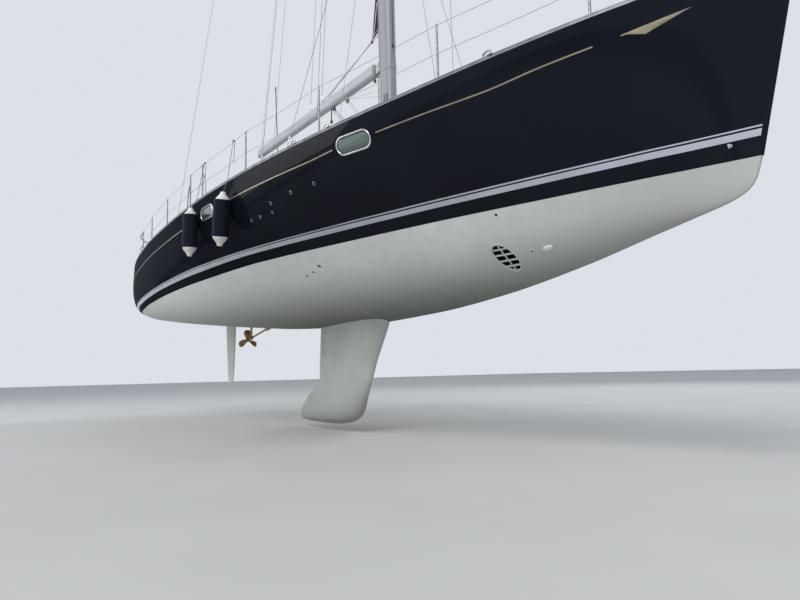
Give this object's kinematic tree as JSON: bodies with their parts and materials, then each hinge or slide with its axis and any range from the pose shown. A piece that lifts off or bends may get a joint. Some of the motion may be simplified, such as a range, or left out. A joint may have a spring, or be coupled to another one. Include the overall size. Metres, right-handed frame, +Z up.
{
  "type": "sailing yacht",
  "caption": "Fin-keeled cruising yacht with a single mast, furled sails, twin steering wheels, spade rudder and shaft propeller.",
  "frame": {"origin": "amidships on the centreline, at the height of the waterline", "axes": "+X to the bow, +Y to port, +Z up along the mast"},
  "size_m": [14.921, 4.6597, 22.815],
  "materials": {
    "topsides": "polished dark blue-black gelcoat",
    "gelcoat": "white gelcoat",
    "antifoul": "matt off-white antifouling",
    "aluminium": "anodised",
    "steel": "polished stainless steel",
    "bronze": "cast bronze",
    "tinted": "tinted acrylic",
    "pane": "tinted glass",
    "canvas": "woven navy canvas",
    "galvanised": "hot-dip galvanised"
  },
  "bodies": {
    "boat": {"hull": "topsides", "deck": "gelcoat", "keel": "antifoul", "toe_rail": "aluminium", "portlight_fore_port": "steel", "portlight_fore_starboard": "steel", "portlight_mid_port": "steel", "portlight_mid_starboard": "steel", "pane_fore_port": "pane", "pane_fore_starboard": "pane", "pane_mid_port": "pane", "pane_mid_starboard": "pane", "thruster_grating_port": "antifoul", "thruster_grating_starboard": "antifoul", "roof_window_port": "tinted", "roof_window_starboard": "tinted", "shrouds_port": "steel", "shrouds_starboard": "steel", "lifelines_port": "steel", "lifelines_starboard": "steel", "pushpit_port": "steel", "pushpit_starboard": "steel", "wheel_pedestal_port": "gelcoat", "wheel_pedestal_starboard": "gelcoat", "primary_winch_port": "steel", "primary_winch_starboard": "steel", "cabin_winch_port": "steel", "cabin_winch_starboard": "steel", "bow_cleat_port": "steel", "bow_cleat_starboard": "steel", "stern_cleat_port": "steel", "stern_cleat_starboard": "steel", "mast_step": "aluminium", "mast": "aluminium", "furled_headsail": "canvas", "bow_fitting": "steel", "anchor": "galvanised", "backstay": "steel", "pulpit": "steel", "mainsail_clew": "canvas", "shaft_bracket": "bronze", "washboard": "tinted", "fender_mid": "canvas", "fender_aft": "canvas"},
    "propeller": {"propeller": "bronze"},
    "rudder": {"rudder": "antifoul"},
    "wheel_port": {"steering_wheel_port": "steel"},
    "wheel_starboard": {"steering_wheel_starboard": "steel"},
    "boom": {"boom": "aluminium"},
    "fore_hatch": {"fore_hatch": "tinted"},
    "saloon_hatch": {"saloon_hatch": "tinted"},
    "cabin_hatch": {"cabin_hatch": "tinted"},
    "anchor_locker_lid": {"anchor_locker_lid": "gelcoat"},
    "seat_locker_port": {"seat_locker_lid_port": "gelcoat"},
    "seat_locker_starboard": {"seat_locker_lid_starboard": "gelcoat"},
    "companionway_hatch": {"companionway_hatch": "gelcoat"}
  },
  "joints": [
    {"name": "propeller_spin", "type": "hinge", "parent": "boat", "child": "propeller", "pos_m": [-4.45, 0, -0.64], "axis": [0.9903, 0, 0.1392], "continuous": true},
    {"name": "rudder_turn", "type": "hinge", "parent": "boat", "child": "rudder", "pos_m": [-5.56, 0, -0.6], "axis": [0, 0, 1], "range_deg": [-35, 35]},
    {"name": "wheel_port_turn", "type": "hinge", "parent": "boat", "child": "wheel_port", "pos_m": [-5.66, 0.76, 1.46], "axis": [1, 0, 0], "range_deg": [-270, 270]},
    {"name": "wheel_starboard_turn", "type": "hinge", "parent": "boat", "child": "wheel_starboard", "pos_m": [-5.66, -0.76, 1.46], "axis": [1, 0, 0], "range_deg": [-270, 270]},
    {"name": "boom_swing", "type": "hinge", "parent": "boat", "child": "boom", "pos_m": [1.3, 0, 3.05], "axis": [0, 0, 1], "range_deg": [-70, 70]},
    {"name": "fore_hatch_open", "type": "hinge", "parent": "boat", "child": "fore_hatch", "pos_m": [5.3592, 0, 1.3474], "axis": [0, 1, 0], "range_deg": [0, 80]},
    {"name": "saloon_hatch_open", "type": "hinge", "parent": "boat", "child": "saloon_hatch", "pos_m": [2.7597, 0, 1.4269], "axis": [0, 1, 0], "range_deg": [0, 80]},
    {"name": "cabin_hatch_open", "type": "hinge", "parent": "boat", "child": "cabin_hatch", "pos_m": [0.24, 0, 1.5191], "axis": [0, 1, 0], "range_deg": [0, 80]},
    {"name": "anchor_locker_open", "type": "hinge", "parent": "boat", "child": "anchor_locker_lid", "pos_m": [5.7421, 0, 1.3867], "axis": [0, -1, 0], "range_deg": [0, 85]},
    {"name": "seat_locker_port_open", "type": "hinge", "parent": "boat", "child": "seat_locker_port", "pos_m": [-4, 1.18, 1.0103], "axis": [-1, 0, 0], "range_deg": [0, 85]},
    {"name": "seat_locker_starboard_open", "type": "hinge", "parent": "boat", "child": "seat_locker_starboard", "pos_m": [-4, -1.18, 1.0103], "axis": [1, 0, 0], "range_deg": [0, 85]},
    {"name": "companionway_slide", "type": "slide", "parent": "boat", "child": "companionway_hatch", "axis": [1, 0, 0], "range_m": [0, 0.66]}
  ],
  "couplings": [
    {"joint": "wheel_port_turn", "follows": "rudder_turn", "ratio": 7.7},
    {"joint": "wheel_starboard_turn", "follows": "rudder_turn", "ratio": 7.7}
  ]
}
